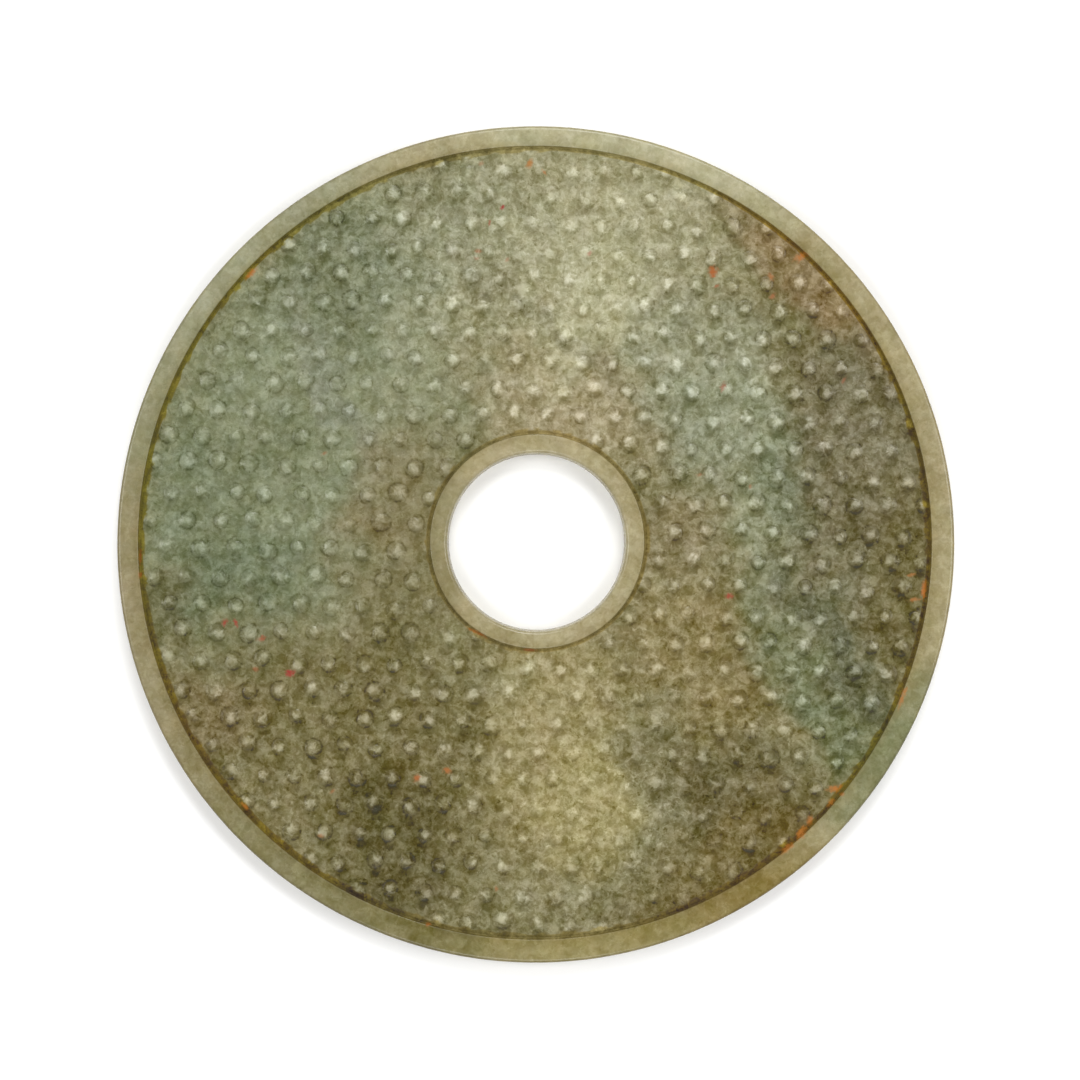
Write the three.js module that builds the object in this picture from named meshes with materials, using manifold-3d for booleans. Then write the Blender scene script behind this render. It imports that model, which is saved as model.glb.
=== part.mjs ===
// A jade bi: a flat ritual disc of nephrite with a round hole, carved with a field of grain bosses.
// Units are millimetres and +Z is up. The disc lies on its back face, with the carved face up, and
// the origin is on the surface it lies on, under the middle of the outer edge.

import * as THREE from "three";
import { mergeVertices } from "three/addons/utils/BufferGeometryUtils.js";
import Module from "manifold-3d";

// Driving dimensions of the disc.
const OUTER_RADIUS = 82.5;
const HOLE_RADIUS = 17.6; // at the foot of its chamfer
const THICKNESS = 5.5; // over the rims
const OUTER_RIM_WIDTH = 4.2; // from the edge to the groove at its foot
const INNER_RIM_WIDTH = 3.3; // from the hole to the groove at its foot
const FIELD_SINK = 0.6; // how far the field lies below the rims, on each face
const GROOVE_WIDTH = 1.2; // the cut line between a rim and the field
const GROOVE_DEPTH = 0.9; // below the rim's top
const GROOVE_WALL = 0.15; // how far a groove's sides lean in, on each side
const EDGE_ROUND = 0.8; // the worn arris of the outer edge
const ARRIS_MID = 0.25; // how far the arris's middle lies in from both of its faces
const HOLE_CHAMFER = 0.6;
const HOLE_RIDGE = 0.3; // the hole was drilled from both faces, and narrows where they meet
const TURNS = 72; // facets round the disc

// The carver struck the circles from slightly different centres. Each is [x, y] from the outer edge's.
const HOLE_CENTRE = [0.15, 0.41];
const INNER_GROOVE_CENTRE = [0.28, 0.57];
const OUTER_GROOVE_CENTRE = [-0.18, 0.32];

// The grain bosses stand on a grid of staggered rows.
const BOSS_PITCH = 6.435; // between neighbours in a row
const ROW_STEP = 5.496; // from one row to the next
const ROW_TURN = -1.3; // degrees that the rows drop towards +X
const GRID_START = [-1.5, -1.95]; // the seat nearest the middle of the disc
const ROW_BOW = 1.35; // how far the outermost rows are set too low
const HAND_SLIP = 1.25; // the span over which a seat misses its place, on each axis
const BOSS_RADIUS = 1.6;
const BOSS_HEIGHT = 0.35; // above the field
const BOSS_SIDES = 5;
const BOSS_ROOT = 0.3; // how far a boss's solid reaches into the disc
const BOSS_MARGIN = 0.1; // left between a boss's foot and a groove

// Where long handling has worn the bosses down: [x, y, radius, share of the height that is gone].
const WORN_PLACES = [
  [18, -52, 27, 0.55],
  [3, 58, 22, 0.45],
];

const wasm = await Module();
wasm.setup();

const fieldTop = THICKNESS - FIELD_SINK;
const outerGroove = OUTER_RADIUS - OUTER_RIM_WIDTH - GROOVE_WIDTH / 2;
const innerGroove = HOLE_RADIUS + INNER_RIM_WIDTH + GROOVE_WIDTH / 2;

// The centre of the circle with this radius. Between the struck circles it moves evenly.
function circleCentre(radius) {
  const struck = [
    [HOLE_RADIUS, HOLE_CENTRE],
    [innerGroove - GROOVE_WIDTH / 2, INNER_GROOVE_CENTRE],
    [innerGroove + GROOVE_WIDTH / 2, INNER_GROOVE_CENTRE],
    [outerGroove - GROOVE_WIDTH / 2, OUTER_GROOVE_CENTRE],
    [outerGroove + GROOVE_WIDTH / 2, OUTER_GROOVE_CENTRE],
    [OUTER_RADIUS - EDGE_ROUND, [0, 0]],
  ];
  const above = struck.findIndex(([reach]) => reach >= radius);
  if (above === 0) return HOLE_CENTRE;
  if (above === -1) return [0, 0];
  const [low, from] = struck[above - 1];
  const [high, to] = struck[above];
  const share = (radius - low) / (high - low);
  return [0, 1].map((axis) => from[axis] + share * (to[axis] - from[axis]));
}

// The section of the top half, from the middle of the hole's wall out to the middle of the edge, as
// [radius, height above the disc's middle plane].
function topSection() {
  const rim = THICKNESS / 2;
  const floor = rim - FIELD_SINK;
  const groove = (radius, rimSide) => {
    const half = GROOVE_WIDTH / 2;
    const cut = [
      [radius - rimSide * half, floor],
      [radius - rimSide * (half - GROOVE_WALL), rim - GROOVE_DEPTH],
      [radius + rimSide * (half - GROOVE_WALL), rim - GROOVE_DEPTH],
      [radius + rimSide * half, rim],
    ];
    return rimSide > 0 ? cut : cut.reverse();
  };
  return [
    [HOLE_RADIUS, rim - HOLE_CHAMFER],
    [HOLE_RADIUS + HOLE_CHAMFER, rim],
    ...groove(innerGroove, -1),
    ...groove(outerGroove, 1),
    [OUTER_RADIUS - EDGE_ROUND, rim],
    [OUTER_RADIUS - ARRIS_MID, rim - ARRIS_MID],
    [OUTER_RADIUS, rim - EDGE_ROUND],
  ];
}

// The whole section turned round the axis, with each circle then moved to its own centre.
function discBlank() {
  const top = topSection();
  const ridge = [HOLE_RADIUS - HOLE_RIDGE, 0];
  const bottom = top.map(([radius, height]) => [radius, -height]);
  const outline = [ridge, ...bottom, ...top.reverse(), ridge];
  const points = outline.map(([radius, height]) => new THREE.Vector2(radius, height + THICKNESS / 2));
  const blank = new THREE.LatheGeometry(points, TURNS).rotateX(Math.PI / 2);
  const place = blank.getAttribute("position");
  for (let i = 0; i < place.count; i += 1) {
    const [x, y] = circleCentre(Math.hypot(place.getX(i), place.getY(i)));
    place.setX(i, place.getX(i) + x);
    place.setY(i, place.getY(i) + y);
  }
  return blank;
}

// A number from 0 to 1 that looks random and is the same each time for one seat.
function scatter(row, column, draw) {
  const wave = 43.7585 * Math.sin(12.9898 * row + 78.233 * column + 37.719 * draw);
  return wave - Math.floor(wave);
}

// Every seat of the grid that lies on the field, clear of both grooves.
function bossSeats() {
  const seats = [];
  const turn = THREE.MathUtils.degToRad(ROW_TURN);
  const rows = Math.ceil(OUTER_RADIUS / ROW_STEP) + 1;
  const columns = Math.ceil(OUTER_RADIUS / BOSS_PITCH) + 1;
  const clear = BOSS_RADIUS + BOSS_MARGIN + GROOVE_WIDTH / 2;
  for (let row = -rows; row <= rows; row += 1) {
    for (let column = -columns; column <= columns; column += 1) {
      const along = (column + (row % 2 ? 0.5 : 0)) * BOSS_PITCH;
      const across = row * ROW_STEP;
      const bow = ROW_BOW * (across / OUTER_RADIUS) ** 2;
      const seat = [
        GRID_START[0] + along * Math.cos(turn) - across * Math.sin(turn),
        GRID_START[1] + along * Math.sin(turn) + across * Math.cos(turn) - bow,
      ].map((value, axis) => value + HAND_SLIP * (scatter(row, column, axis) - 0.5));
      const [outer, inner] = [OUTER_GROOVE_CENTRE, INNER_GROOVE_CENTRE].map(
        (centre) => Math.hypot(seat[0] - centre[0], seat[1] - centre[1]),
      );
      if (outer < outerGroove - clear && inner > innerGroove + clear) seats.push(seat);
    }
  }
  return seats;
}

// The share of its height that a boss at this place has kept.
function kept(x, y) {
  return WORN_PLACES.reduce((share, [wornX, wornY, radius, loss]) => {
    const distance = Math.hypot(x - wornX, y - wornY) / radius;
    return share * (1 - loss * Math.exp(-(distance ** 2)));
  }, 1);
}

// One grain boss, as a low spur that starts inside the disc.
function boss([x, y], number) {
  const height = BOSS_HEIGHT * kept(x, y) + BOSS_ROOT;
  const foot = (BOSS_RADIUS * height) / (height - BOSS_ROOT);
  return new THREE.ConeGeometry(foot, height, BOSS_SIDES)
    .rotateX(Math.PI / 2)
    .rotateZ(number)
    .translate(x, y, fieldTop - BOSS_ROOT + height / 2);
}

function solid(geometry) {
  const bare = geometry.clone().deleteAttribute("normal").deleteAttribute("uv");
  const merged = mergeVertices(bare, 1e-4);
  return new wasm.Manifold(
    new wasm.Mesh({
      numProp: 3,
      vertProperties: merged.getAttribute("position").array,
      triVerts: new Uint32Array(merged.index.array),
    }),
  );
}

function geometryOf(manifold) {
  const mesh = manifold.getMesh();
  const geometry = new THREE.BufferGeometry();
  geometry.setAttribute("position", new THREE.BufferAttribute(mesh.vertProperties, 3));
  geometry.setIndex(new THREE.BufferAttribute(mesh.triVerts, 1));
  geometry.computeVertexNormals();
  return geometry;
}

const bosses = wasm.Manifold.union(bossSeats().map((seat, number) => solid(boss(seat, number))));

const jade = new THREE.MeshStandardMaterial({ color: 0x86825f, roughness: 0.4, metalness: 0 });

const bi = new THREE.Group();
const disc = new THREE.Mesh(geometryOf(solid(discBlank()).add(bosses)), jade);
disc.name = "bi_disc";
bi.add(disc);

export default bi;
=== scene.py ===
# %% [markdown]
# # A jade bi disc
# A bi is a flat disc of jade with a round hole, made in ancient China for rites and burials. This one
# lies on its back, with its carved face up. The lesson loads the measured solid of the disc, and then
# makes the surface that the eye sees: rims and cut lines, some five hundred small grain bosses, each
# with its own curl, and the mottled stone itself.

# %% Load the frame
import math
from functools import partial
from types import SimpleNamespace

import bmesh
import bpy
import numpy as np
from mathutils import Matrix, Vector
from mathutils.geometry import delaunay_2d_cdt


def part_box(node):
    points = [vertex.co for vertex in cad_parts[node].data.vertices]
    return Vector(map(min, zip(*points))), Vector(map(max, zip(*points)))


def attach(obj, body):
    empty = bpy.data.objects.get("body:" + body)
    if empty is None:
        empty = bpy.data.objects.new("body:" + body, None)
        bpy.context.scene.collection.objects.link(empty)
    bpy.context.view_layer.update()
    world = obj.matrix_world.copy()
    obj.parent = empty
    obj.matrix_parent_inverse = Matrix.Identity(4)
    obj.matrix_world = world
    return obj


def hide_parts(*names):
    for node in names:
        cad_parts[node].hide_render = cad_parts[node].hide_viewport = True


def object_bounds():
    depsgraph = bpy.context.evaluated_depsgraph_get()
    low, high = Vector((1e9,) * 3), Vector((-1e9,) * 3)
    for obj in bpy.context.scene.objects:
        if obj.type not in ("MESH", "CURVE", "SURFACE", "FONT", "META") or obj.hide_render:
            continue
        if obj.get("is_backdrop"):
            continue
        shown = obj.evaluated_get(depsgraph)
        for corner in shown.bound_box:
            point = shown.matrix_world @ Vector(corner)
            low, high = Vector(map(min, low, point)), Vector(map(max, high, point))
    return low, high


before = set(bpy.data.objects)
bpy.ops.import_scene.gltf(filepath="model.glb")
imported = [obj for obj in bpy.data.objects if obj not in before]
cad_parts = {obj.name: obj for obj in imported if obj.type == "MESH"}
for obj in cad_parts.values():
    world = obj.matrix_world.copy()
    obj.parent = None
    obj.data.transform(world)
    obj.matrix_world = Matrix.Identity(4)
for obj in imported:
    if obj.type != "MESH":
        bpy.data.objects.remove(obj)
cad_low, cad_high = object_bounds()
print("the solid's box in metres:", [round(v, 5) for v in (*cad_low, *cad_high)])

# %% [markdown]
# ## Sizes
# The solid gives the disc's size and thickness. The rest are its carver's sizes. They are in
# millimetres, because a carver's cuts are a millimetre or less, and one factor turns them to metres.

# %% The disc's sizes
MM = 0.001
disc_low, disc_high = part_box("bi_disc")
OUTER = (disc_high.x - disc_low.x) / 2 / MM
THICK = (disc_high.z - disc_low.z) / MM
HOLE = 17.6           # at the foot of its rounded lip
HOLE_WAIST = 0.28     # the hole was drilled from both faces, and is this much narrower inside
GROOVE = 1.2          # width of the cut line at the foot of each rim
GROOVE_DEEP = 0.85    # below the rim's top
FIELD_SINK = 0.6      # how far the carved field lies below the rims
OUTER_GROOVE = 77.7   # radius of the middle of the outer cut line
INNER_GROOVE = 21.5   # and of the inner one
EDGE_ROUND = 0.75     # the arris of each rim's edge, rounded by handling
FIELD_OUT = OUTER_GROOVE - GROOVE / 2
FIELD_IN = INNER_GROOVE + GROOVE / 2
# The circles were struck from slightly different centres: radius, then x and y.
STRUCK = [
    (HOLE, 0.15, 0.41),
    (INNER_GROOVE - GROOVE / 2, 0.28, 0.57),
    (FIELD_IN, 0.28, 0.57),
    (FIELD_OUT, -0.18, 0.32),
    (OUTER_GROOVE + GROOVE / 2, -0.18, 0.32),
    (OUTER - 0.8, 0.0, 0.0),    # the edge, and all that is past it
]


def circle_centre(radius):
    """The centre of the circle with this radius. It moves evenly from one struck circle to the next."""
    reach, x, y = zip(*STRUCK)
    return np.array([np.interp(radius, reach, x), np.interp(radius, reach, y)])


print("disc", round(2 * OUTER, 1), "mm across,", round(THICK, 1), "mm thick")

# %% [markdown]
# ## One helper for every node
# Both the carving and the stone are built from nodes. One function adds a node, sets it up, and fills
# its sockets with numbers or with links from other nodes.

# %% Add a node
MATH, VECTOR, STORE = "ShaderNodeMath", "ShaderNodeVectorMath", "GeometryNodeStoreNamedAttribute"
RANGE, NOISE, JOIN = "ShaderNodeMapRange", "ShaderNodeTexNoise", "ShaderNodeCombineXYZ"
# The sums that come often. TIMES_PLUS multiplies its first two values and adds the third.
PLUS, MINUS, TIMES, OVER, TIMES_PLUS, POWER, LARGER, SMALLER = (
    MATH + " " + operation
    for operation in
    ("ADD", "SUBTRACT", "MULTIPLY", "DIVIDE", "MULTIPLY_ADD", "POWER", "MAXIMUM", "MINIMUM")
)
SMOOTH = {"interpolation_type": "SMOOTHSTEP"}    # a range with soft ends


def add(tree, kind, *values, **settings):
    """Adds one node. Its operation may follow its kind. values fill its sockets in order, and None
    skips one. A dict in their place fills sockets by name."""
    kind, _, operation = kind.partition(" ")
    made = tree.nodes.new(kind)
    if operation:
        made.operation = operation
    for name, value in settings.items():
        setattr(made, name, value)
    live = [socket for socket in made.inputs if socket.enabled]
    if values and isinstance(values[0], dict):
        pairs = [(next(s for s in live if s.name == name), v) for name, v in values[0].items()]
    else:
        pairs = zip(live, values)
    for socket, value in pairs:
        if isinstance(value, bpy.types.Node):
            value = next(output for output in value.outputs if output.enabled)
        if isinstance(value, bpy.types.NodeSocket):
            tree.links.new(value, socket)
        elif value is not None:
            socket.default_value = value
    return made


def new_tree(name, sizes):
    """A Geometry Nodes tree with an input for each size. Returns the tree and its inputs by name."""
    tree = bpy.data.node_groups.new(name, "GeometryNodeTree")
    tree.interface.new_socket("Geometry", in_out="INPUT", socket_type="NodeSocketGeometry")
    for size, value in sizes.items():
        kind = "NodeSocketInt" if isinstance(value, int) else "NodeSocketFloat"
        tree.interface.new_socket(size, in_out="INPUT", socket_type=kind).default_value = value
    tree.interface.new_socket("Geometry", in_out="OUTPUT", socket_type="NodeSocketGeometry")
    inputs = add(tree, "NodeGroupInput").outputs
    return tree, {socket.name: socket for socket in inputs if socket.name}


def evaluated(tree, mesh, name, sizes):
    """What a tree makes from a mesh, as a plain mesh of its own."""
    holder = bpy.data.objects.new(name, mesh)
    bpy.context.collection.objects.link(holder)
    modifier = holder.modifiers.new(name, "NODES")
    modifier.node_group = tree
    for socket in tree.interface.items_tree:
        if socket.in_out == "INPUT" and socket.name in sizes:
            modifier[socket.identifier] = sizes[socket.name]
    graph = bpy.context.evaluated_depsgraph_get()
    made = bpy.data.meshes.new_from_object(holder.evaluated_get(graph), depsgraph=graph)
    bpy.data.objects.remove(holder)
    made.name = name
    return made


def numbers(mesh, name, width=1):
    """A mesh's named attribute as an array."""
    data = mesh.attributes[name].data
    found = np.empty(len(data) * width, np.float32)
    data.foreach_get("value" if width == 1 else "vector", found)
    return found.reshape(-1, width) if width > 1 else found


# %% [markdown]
# ## Where the grains sit
# A carver ruled the field into staggered rows and cut one grain at each crossing, a little off each
# time. They could be placed by hand or by a loop in Python. A Geometry Nodes tree does it here, since
# the rule is short and each size stays an input that can be turned. The slip comes from a sine, and not
# from the Random Value node, so that the grains sit where the solid's own bosses do.

# %% The seats of the grains
SEAT_PAST_LIP = 0.4      # how far past the field's lip the middle of a grain may be
# Where handling has worn the grains down: x, y, radius and the share of the height that is gone.
WORN = [(18, -52, 27, 0.55), (3, 58, 22, 0.45)]
SEATS = {
    "Pitch": 6.435,          # along a row
    "Row Step": 5.496,
    "Row Turn": math.radians(-1.3),
    "Start X": -1.5,
    "Start Y": -1.95,
    "Row Bow": 1.35,         # how far down the outermost rows have strayed
    "Hand Slip": 1.25,       # the whole range of a grain's slip from its crossing
    "Reach In": FIELD_IN - SEAT_PAST_LIP,
    "Reach Out": FIELD_OUT + SEAT_PAST_LIP,
    "Seed": 7,
}
ROWS = 2 * math.ceil(OUTER / SEATS["Row Step"]) + 3
COLUMNS = 2 * math.ceil(OUTER / SEATS["Pitch"]) + 3
# Uneven numbers, by which a sine scatters the slips.
BY_COLUMN, BY_ROW, BY_DRAW, BY_WAVE = 78.233, 12.9898, 37.719, 43.7585
# Each grain's own draws, with their lowest and highest values.
DRAWS = {"start": (0.0, 2 * math.pi), "size": (0.88, 1.18), "hand": (-1.0, 1.0), "crisp": (0.35, 1.0)}


def seat_tree():
    """The tree that makes one point for each grain, with its curl's hand, turn, size and wear."""
    tree, size = new_tree("grain seats", SEATS)
    node = partial(add, tree)
    line = node("GeometryNodeMeshLine", {"Count": ROWS * COLUMNS})
    index = node("GeometryNodeInputIndex")
    row = node(MINUS, node(MATH + " FLOOR", node(OVER, index, COLUMNS)), ROWS // 2)
    column = node(MINUS, node(MATH + " FLOORED_MODULO", index, COLUMNS), COLUMNS // 2)
    stagger = node(TIMES, node(MATH + " FLOORED_MODULO", row, 2.0), 0.5)
    along = node(TIMES, node(PLUS, column, stagger), size["Pitch"])
    across = node(TIMES, row, size["Row Step"])
    ruled = node(JOIN, along, across)
    turned = node("ShaderNodeVectorRotate", {"Vector": ruled, "Angle": size["Row Turn"]},
                  rotation_type="Z_AXIS")
    reach = node(POWER, node(OVER, across, OUTER), 2.0)
    low = node(MINUS, size["Start Y"], node(TIMES, reach, size["Row Bow"]))
    phase = node(TIMES_PLUS, column, BY_COLUMN, node(TIMES, row, BY_ROW))
    slips = []
    for draw in (0, 1):
        wave = node(MATH + " SINE", node(PLUS, phase, BY_DRAW * draw))
        scatter = node(MATH + " FRACT", node(TIMES, wave, BY_WAVE))
        slips.append(node(TIMES, node(MINUS, scatter, 0.5), size["Hand Slip"]))
    ruled_seat = node(VECTOR + " ADD", turned, node(JOIN, size["Start X"], low))
    seat = node(VECTOR + " ADD", ruled_seat, node(JOIN, *slips))
    placed = node("GeometryNodeSetPosition", {"Geometry": line, "Position": seat})

    position = node("GeometryNodeInputPosition")
    off_field = []
    for (_, x, y), name in ((STRUCK[2], "Reach In"), (STRUCK[3], "Reach Out")):
        away = node(VECTOR + " DISTANCE", position, (x, y, 0)).outputs["Value"]
        pair = (size[name], away) if name == "Reach In" else (away, size[name])
        off_field.append(node(MATH + " GREATER_THAN", *pair))
    geometry = node("GeometryNodeDeleteGeometry", {"Geometry": placed,
                                                   "Selection": node(PLUS, *off_field)})
    kept = 1.0
    for x, y, radius, loss in WORN:
        away = node(VECTOR + " DISTANCE", position, (x, y, 0)).outputs["Value"]
        near = node(POWER, node(OVER, away, radius), 2.0)
        worn = node(MATH + " EXPONENT", node(TIMES, near, -1.0))
        kept = node(TIMES, kept, node(TIMES_PLUS, worn, -loss, 1.0))
    facts = {"kept": kept}
    for number, (name, (low, high)) in enumerate(DRAWS.items()):
        seed = node(PLUS, size["Seed"], number)
        draw = node("FunctionNodeRandomValue", {"Min": low, "Max": high, "ID": index, "Seed": seed})
        facts[name] = node(MATH + " SIGN", draw) if name == "hand" else draw
    for name, value in facts.items():
        geometry = node(STORE, {"Geometry": geometry, "Name": name, "Value": value})
    node("NodeGroupOutput", geometry)
    return tree


seats_tree = seat_tree()
seats = evaluated(seats_tree, bpy.data.meshes.new("nothing"), "seats", SEATS)
seat_places = numbers(seats, "position", 3)[:, :2]
seat_facts = {name: numbers(seats, name) for name in (*DRAWS, "kept")}
print(len(seat_places), "grains on each face, the most worn with", seat_facts["kept"].min().round(2),
      "of its height")

# %% [markdown]
# ## A grain and its curl
# Each grain is a small knob on a low round step. A fine cut line starts at the knob's foot and winds
# outwards once and a bit, so that the grain looks like a sprouting seed. The line is a spiral: the
# further round, the further out. The same rule is needed three times, to lay the mesh's points along
# the cut, to carve it, and to put dirt in it, so its sizes are named once.

# %% The sizes of a grain
GRAIN = {
    "Knob Radius": 1.0,
    "Knob Height": 0.17,     # above the step
    "Knob Roundness": 2.0,   # 2 is a parabola, and more is a flatter top with a steeper side
    "Knob Shift": 0.26,      # the knob sits off the curl's middle, towards where the cut starts
    "Curl Start": 0.72,      # how far out the cut line starts
    "Curl Reach": 1.16,      # how much further out it ends
    "Curl Turns": 1.18,
    "Curl Spread": 0.34,     # under 1, most of its way out comes early
    "Cut Width": 0.17,       # from the cut line's middle to its lip
    "Cut Depth": 0.034,
    "Step Height": 0.05,     # the round step inside the curl
    "Step Slope": 0.30,      # how wide its sloping edge is
    "Mound Reach": 2.6,      # the low ground that the grain stands on
    "Mound Height": 0.05,
    "Wave Height": 0.045,    # how uneven hand grinding left the field
    "Wave Length": 7.0,
    "Seed": 3,
}


def curl_radius(turn):
    """How far out the cut line's middle is, after this many turns round the grain."""
    return GRAIN["Curl Start"] + GRAIN["Curl Reach"] * (turn / GRAIN["Curl Turns"]) ** GRAIN["Curl Spread"]


# Rings of points on a knob, each with its radius and its count of points.
CURLED_KNOB = [(0.0, 1), (0.36, 6), (0.72, 8), (1.06, 10)]
PLAIN_KNOB = [(0.0, 1), (0.5, 6), (1.0, 9), (1.3, 10), (1.95, 10)]
CUT_POINTS = 23               # along the cut line
CUT_ROWS = (-1.1, 0.0, 1.0)   # across it, in cut widths
RING_OUTSIDE = (2.30, 14)     # round the whole grain


def polar(radius, angle):
    """Points at these radii and angles."""
    return np.stack([radius * np.cos(angle), radius * np.sin(angle)], axis=1)


def grain_points(seat, start, size, hand, curled):
    """Points for one grain, in plan: rings on the knob, rows along the cut line, and a ring outside."""
    rings = CURLED_KNOB if curled else PLAIN_KNOB
    radius = np.concatenate([np.full(count, reach) for reach, count in rings])
    angle = np.concatenate([np.arange(count) / count + reach for reach, count in rings]) * 2 * math.pi
    place = polar(radius, angle) + (GRAIN["Knob Shift"], 0)
    if curled:
        turns = (np.arange(CUT_POINTS) + 0.5) / CUT_POINTS * GRAIN["Curl Turns"]
        rows = [(curl_radius(turns) + offset * GRAIN["Cut Width"], turns) for offset in CUT_ROWS]
        reach, count = RING_OUTSIDE
        rows.append((np.full(count, reach), np.arange(count) / count))
        for radius, turns in rows:
            place = np.append(place, polar(radius, turns * 2 * math.pi), axis=0)
    # hand mirrors the grain, start turns it and size scales it.
    x, y = place[:, 0], place[:, 1] * hand
    cos, sin = math.cos(start), math.sin(start)
    return seat + size * np.stack([x * cos - y * sin, x * sin + y * cos], axis=1)


# %% The rule of the curl
def curl_rule(node, size, here, start, hand, wobble=0.0):
    """The nodes that say how far a point is from the knob's middle, how deep it is in the curl's cut,
    and how much it is on the round step. Both the carving and the stone use them."""
    away = node(PLUS, node(VECTOR + " LENGTH", here).outputs["Value"], wobble)
    split = node("ShaderNodeSeparateXYZ", here)
    around = node(MATH + " ARCTAN2", split.outputs["Y"], split.outputs["X"])
    around = node(TIMES, node(MINUS, around, start), hand)
    turn = node(MATH + " FLOORED_MODULO", node(OVER, around, 2 * math.pi), 1.0)
    cut, step = 0.0, 0.0
    # Past one turn the line winds outside itself, so each point is held against both windings.
    for winding, fade in enumerate(({"From Min": 0.0, "From Max": 0.15, "To Min": 0.0, "To Max": 1.0},
                                    {"From Min": 1.0, "From Max": size["Curl Turns"],
                                     "To Min": 1.0, "To Max": 0.0})):
        gone = node(PLUS, turn, float(winding))
        share = node(POWER, node(OVER, gone, size["Curl Turns"]), size["Curl Spread"])
        reach = node(TIMES_PLUS, share, size["Curl Reach"], size["Curl Start"])
        past = node(MINUS, away, reach)
        lip = node(RANGE, {"Value": node(MATH + " ABSOLUTE", past), "From Min": 0.0,
                           "From Max": size["Cut Width"], "To Min": 1.0, "To Max": 0.0}, **SMOOTH)
        shown = node(RANGE, {"Value": gone, **fade}, **SMOOTH)
        within = node(RANGE, {"Value": past, "From Min": node(TIMES, size["Step Slope"], -1.0),
                              "From Max": 0.0, "To Min": 1.0, "To Max": 0.0}, **SMOOTH)
        cut = node(LARGER, cut, node(TIMES, lip, shown))
        step = node(LARGER, step, node(TIMES, within, shown) if winding else within)
    shift = node(JOIN, node(MATH + " COSINE", start), node(MATH + " SINE", start))
    shift = node(VECTOR + " SCALE", {"Vector": shift, "Scale": size["Knob Shift"]})
    from_knob = node(PLUS, node(VECTOR + " DISTANCE", here, shift).outputs["Value"], wobble)
    return from_knob, cut, step


# %% [markdown]
# ## The blank
# Before any grain was cut, the disc was sawn flat, drilled from both faces and ground: plain rims, a cut
# line at the foot of each, and a sunken field. A Screw or Lathe would turn its section, but these
# circles don't share a centre. So each ring of points is laid round its own centre, and rings are
# joined to their neighbours. The field between is left for the grains' own points.

# %% Rings of the blank
RIM = THICK / 2
FLOOR = RIM - FIELD_SINK
BED = RIM - GROOVE_DEEP
OUTER_COUNT, HOLE_COUNT = 320, 128    # points on each ring of the outer rim and of the hole's rim
EDGE_GRIME_AND_SHADE, HOLE_GRIME = 0.65, 0.0    # dirt on the edge, which also paints the shade of its rounding, and the hole was rubbed clean
OVAL, THREE_SIDED = 0.05, 0.03        # mm, how far a circle cut by hand is from round
INSET = 0.08                          # mm, which keeps it inside the solid


def section(edge, groove, outward, grime):
    """The section of one rim, from the field's lip to the middle of the edge. Each row is a radius, a
    height, how much dirt it holds (on the rounded edge, dirt and painted shade) and how much of it is rim."""
    half = GROOVE / 2
    rows = [
        (groove - outward * half, FLOOR, 0.95, 0.0),
        (groove - outward * 0.30, FLOOR - 0.04, 1.0, 0.0),
        (groove, BED + 0.04, 1.0, 0.0),
        (groove + outward * 0.22, BED, 0.9, 0.0),
        (groove + outward * 0.36, RIM - 0.25, 0.75, 0.3),
        (groove + outward * 0.46, RIM - 0.05, 0.30, 0.9),
        (groove + outward * half, RIM, 0.25, 1.0),
        ((groove + edge) / 2, RIM, 0.0, 1.0),
    ]
    # A quarter round for the arris that handling has left, then the edge. Its dirt grows as it turns down,
    # and is painted shade there too.
    for step in range(5):
        turn = step / 4 * math.pi / 2
        inward, down = EDGE_ROUND * (1 - math.sin(turn)), EDGE_ROUND * (1 - math.cos(turn))
        rows.append((edge - outward * inward, RIM - down, grime * step / 4, 1.0))
    return rows


def ring(radius, height, count):
    """One ring of points round its own centre, with the small waver of a circle cut by hand."""
    angle = np.arange(count) / count * 2 * math.pi
    waver = 0
    if radius > OUTER - 1:
        waver = OVAL * np.cos(2 * angle - 1.1) + THREE_SIDED * np.sin(3 * angle) - INSET
    return np.column_stack([circle_centre(radius) + polar(radius + waver, angle), np.full(count, height)])


def rim_band(edge, groove, outward, count, bulge, grime):
    """The points and faces of one rim, from the front field over the edge to the back field, and the
    dirt and the rim share of each point."""
    front = section(edge, groove, outward, grime)
    back = [(radius, -height, *rest) for radius, height, *rest in reversed(front)]
    rows = [*front, (edge + bulge, 0.0, grime, 1.0), *back]
    points = np.concatenate([ring(radius, height, count) for radius, height, *_ in rows])
    dirt, rim = (np.repeat([row[n] for row in rows], count) for n in (2, 3))
    faces = []
    for row in range(len(rows) - 1):
        here, there = row * count, (row + 1) * count
        for step in range(count):
            after = (step + 1) % count
            face = (here + step, there + step, there + after, here + after)
            faces.append(face if outward > 0 else face[::-1])
    return points, faces, dirt, rim


outer_band = rim_band(OUTER, OUTER_GROOVE, 1, OUTER_COUNT, 0.0, EDGE_GRIME_AND_SHADE)
hole_band = rim_band(HOLE, INNER_GROOVE, -1, HOLE_COUNT, -HOLE_WAIST, HOLE_GRIME)
print("rims:", len(outer_band[1]) + len(hole_band[1]), "four-sided faces")

# %% [markdown]
# ## A mesh that follows the carving
# An even grid fine enough for the cut lines would need millions of faces. Instead the points are laid
# where the shape turns, and Delaunay's rule joins them into well-shaped triangles.

# %% Lay the field's points
LIP = 0.42                  # mm, from the field's edge to the next ring of points
FRONT_NET = (1.3, 2.75)     # mm, how far apart the points between the grains are, and how far from a grain
BACK_NET = (1.75, 2.6)
TOO_CLOSE = 0.06            # mm, points nearer than this become one


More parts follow.
